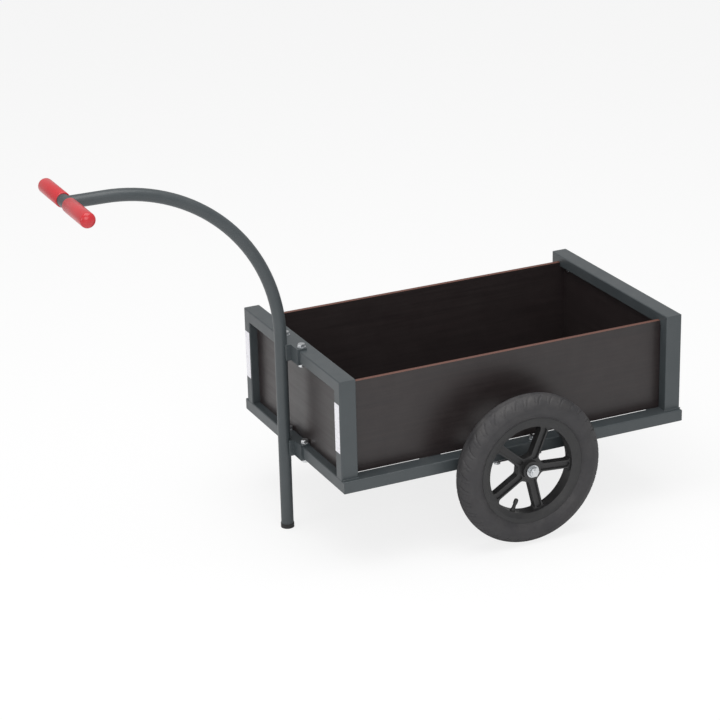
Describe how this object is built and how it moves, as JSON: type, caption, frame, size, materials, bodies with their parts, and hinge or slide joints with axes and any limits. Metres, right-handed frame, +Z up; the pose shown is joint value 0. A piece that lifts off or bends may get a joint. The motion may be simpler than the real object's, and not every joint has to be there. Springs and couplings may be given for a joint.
{
  "type": "hand cart",
  "caption": "Low box cart with a steel tube frame, plywood box, large spoked wheels on one axle and a curved drawbar with a T-handle that is also the parking foot.",
  "frame": {"origin": "on the floor, under the middle of the overall box that holds the cart and its handle", "axes": "+X forward to the handle, +Y to the left, +Z up"},
  "size_m": [1.204, 0.618, 0.764],
  "materials": {
    "frame_paint": "anthracite grey powder coat, satin",
    "film_plywood": "dark brown phenolic film on plywood, satin",
    "zinc": "bright zinc plate",
    "wheel_plastic": "black moulded plastic, satin",
    "rubber_black": "black rubber, matt",
    "tyre": "dark grey rubber, matt",
    "grip_red": "red soft vinyl, slightly glossy"
  },
  "bodies": {
    "cart": {"axle": "zinc", "axle_strap_left": "zinc", "axle_strap_right": "zinc", "base_rail_front": "frame_paint", "base_rail_left": "frame_paint", "base_rail_rear": "frame_paint", "base_rail_right": "frame_paint", "bracket_lower": "frame_paint", "bracket_upper": "frame_paint", "cross_member_front": "frame_paint", "cross_member_rear": "frame_paint", "drawbar": "frame_paint", "floor_panel": "film_plywood", "foot_plug": "rubber_black", "front_panel": "film_plywood", "grip_left": "grip_red", "grip_right": "grip_red", "handle_bar": "frame_paint", "hub_nut_left": "zinc", "hub_nut_right": "zinc", "hub_washer_left": "zinc", "hub_washer_right": "zinc", "post_front_left": "frame_paint", "post_front_right": "frame_paint", "post_rear_left": "frame_paint", "post_rear_right": "frame_paint", "rear_panel": "film_plywood", "side_panel_left": "film_plywood", "side_panel_right": "film_plywood", "top_rail_front": "frame_paint", "top_rail_rear": "frame_paint"},
    "wheel_left": {"hub_bush_left": "zinc", "rim_left": "wheel_plastic", "tyre_left": "tyre", "valve_left": "rubber_black"},
    "wheel_right": {"hub_bush_right": "zinc", "rim_right": "wheel_plastic", "tyre_right": "tyre", "valve_right": "rubber_black"}
  },
  "joints": [
    {"name": "wheel_left_spin", "type": "hinge", "parent": "cart", "child": "wheel_left", "pos_m": [-0.224, 0.2805, 0.155], "axis": [0, 1, 0], "continuous": true},
    {"name": "wheel_right_spin", "type": "hinge", "parent": "cart", "child": "wheel_right", "pos_m": [-0.224, -0.2805, 0.155], "axis": [0, 1, 0], "continuous": true}
  ]
}
